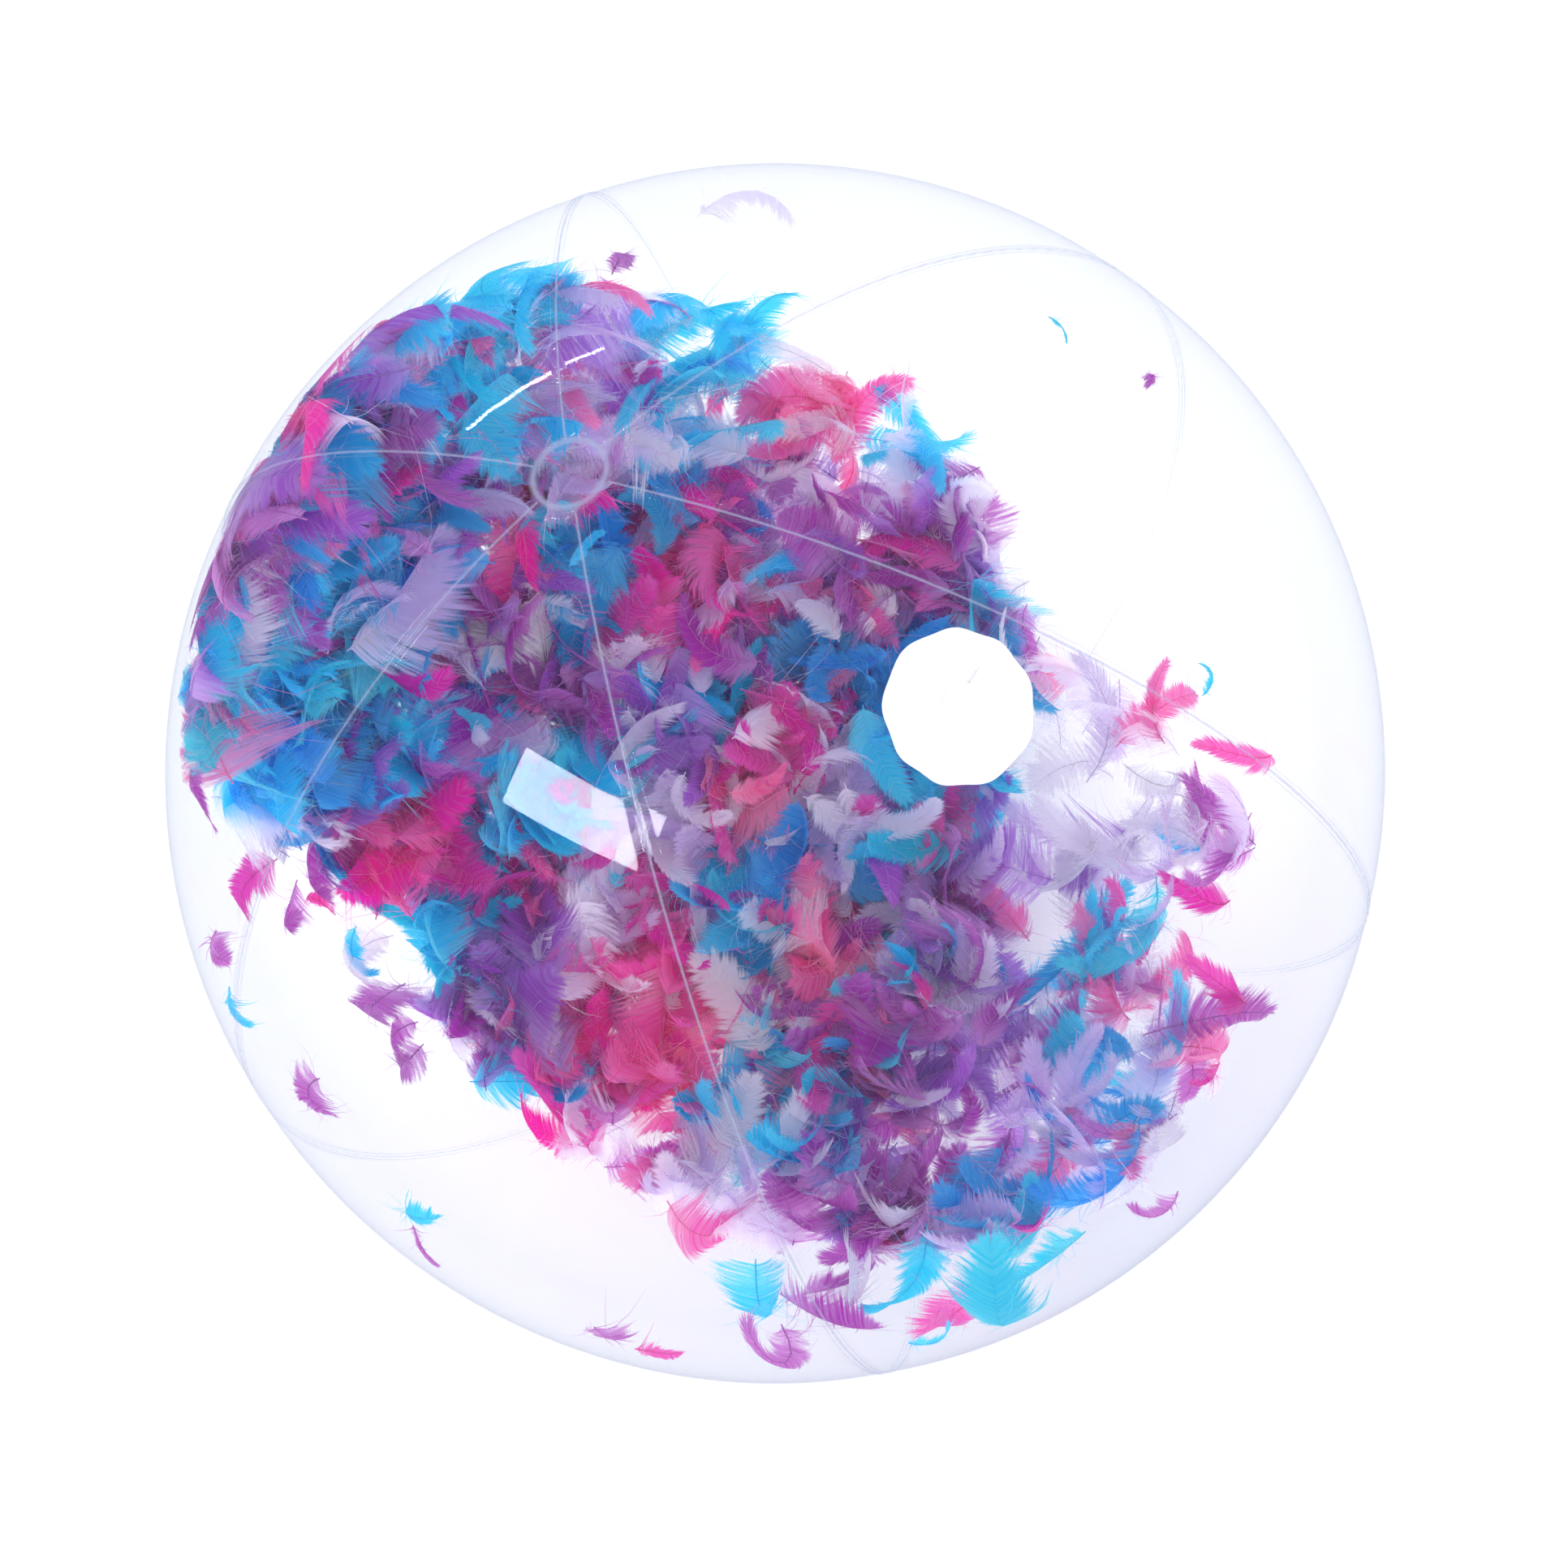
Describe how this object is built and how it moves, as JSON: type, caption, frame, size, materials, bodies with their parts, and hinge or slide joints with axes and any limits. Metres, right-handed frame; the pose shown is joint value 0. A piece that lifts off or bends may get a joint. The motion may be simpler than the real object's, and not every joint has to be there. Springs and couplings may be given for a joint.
{
  "type": "inflatable ball with loose feathers",
  "caption": "Round inflatable ball of clear welded film with a white valve patch and a push-in stopper valve, holding loose dyed feathers.",
  "frame": {"origin": "centre of the inflated ball", "axes": "+Z along the pole axis where the gores meet, and the valve leans 30 degrees from it towards -Y"},
  "size_m": [0.485, 0.485, 0.486],
  "materials": {
    "clear_film": "clear gloss vinyl film",
    "weld_film": "clear gloss vinyl, pressed weld",
    "white_vinyl": "opaque white gloss vinyl",
    "valve_vinyl": "soft moulded vinyl, satin",
    "purple_plume": "soft dyed feather",
    "cyan_plume": "soft dyed feather",
    "magenta_plume": "soft dyed feather",
    "violet_plume": "soft dyed feather",
    "deep_blue_plume": "soft dyed feather",
    "pink_plume": "soft dyed feather",
    "lilac_plume": "soft dyed feather",
    "white_plume": "soft dyed feather"
  },
  "bodies": {
    "ball": {"panel_1": "clear_film", "panel_2": "clear_film", "panel_3": "clear_film", "panel_4": "clear_film", "panel_5": "clear_film", "panel_6": "clear_film", "seam_1": "weld_film", "seam_2": "weld_film", "seam_3": "weld_film", "seam_4": "weld_film", "seam_5": "weld_film", "seam_6": "weld_film", "top_cap": "weld_film", "bottom_cap": "weld_film", "valve_patch": "white_vinyl", "valve_flange": "valve_vinyl"},
    "stem": {"valve_stem": "valve_vinyl"},
    "plug": {"valve_plug": "valve_vinyl", "plug_strap": "valve_vinyl"},
    "flap": {"valve_flap": "valve_vinyl"},
    "feathers": {"purple_feathers": "purple_plume", "cyan_feathers": "cyan_plume", "magenta_feathers": "magenta_plume", "violet_feathers": "violet_plume", "deep_blue_feathers": "deep_blue_plume", "pink_feathers": "pink_plume", "lilac_feathers": "lilac_plume", "white_feathers": "white_plume", "stray_purple_feathers": "purple_plume", "stray_cyan_feathers": "cyan_plume", "stray_magenta_feathers": "magenta_plume", "stray_white_feathers": "white_plume"}
  },
  "joints": [
    {"name": "feathers_turn", "type": "hinge", "parent": "ball", "child": "feathers", "pos_m": [0, 0, 0], "axis": [0, 0, 1], "continuous": true},
    {"name": "stem_slide", "type": "slide", "parent": "ball", "child": "stem", "axis": [0, -0.5, 0.866], "range_m": [0, 0.012]},
    {"name": "plug_pull", "type": "slide", "parent": "stem", "child": "plug", "axis": [0, -0.5, 0.866], "range_m": [0, 0.009]},
    {"name": "flap_open", "type": "hinge", "parent": "stem", "child": "flap", "pos_m": [0, -0.1056, 0.19191], "axis": [1, 0, 0], "range_deg": [0, 40], "stiffness_Nm_per_rad": 0.0002, "springref_deg": -5.73}
  ]
}
